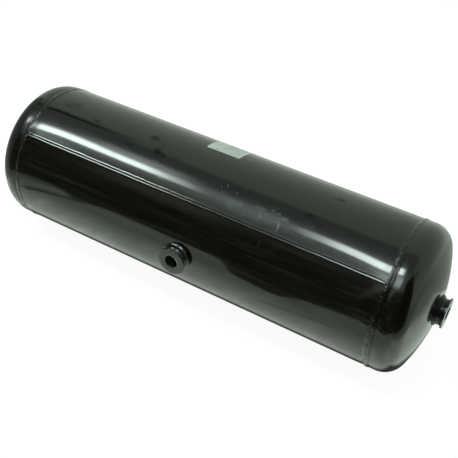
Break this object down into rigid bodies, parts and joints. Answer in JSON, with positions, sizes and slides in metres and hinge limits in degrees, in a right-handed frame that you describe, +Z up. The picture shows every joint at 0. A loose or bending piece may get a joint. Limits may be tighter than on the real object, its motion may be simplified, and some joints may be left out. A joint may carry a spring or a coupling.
{
  "type": "horizontal pressure tank",
  "caption": "Long cylindrical welded steel tank with dished ends, a threaded port boss in the middle of each end and one on its side, glossy black paint and a blank pale label.",
  "frame": {"origin": "on the tank axis, half way along the shell", "axes": "+X along the tank axis, +Z up with the tank lying on its girth welds, the side port points to -Y"},
  "size_m": [0.6906, 0.219, 0.209],
  "materials": {
    "black_paint": "high gloss black paint with light orange peel, dust and fine scuffs",
    "black_paint_weld": "gloss black paint over rippled weld beads",
    "black_paint_boss": "gloss black paint over turned steel, worn at the edges",
    "label": "thin pale grey-green metal plate, matt and blank"
  },
  "bodies": {
    "root": {"shell": "black_paint", "shell_seam_weld": "black_paint_weld", "head_left": "black_paint", "head_right": "black_paint", "girth_weld_left": "black_paint_weld", "girth_weld_right": "black_paint_weld", "end_port_boss_left": "black_paint_boss", "end_port_boss_right": "black_paint_boss", "end_port_weld_left": "black_paint_weld", "end_port_weld_right": "black_paint_weld", "side_port_boss": "black_paint_boss", "side_port_weld": "black_paint_weld", "label_plate": "label"}
  },
  "joints": []
}
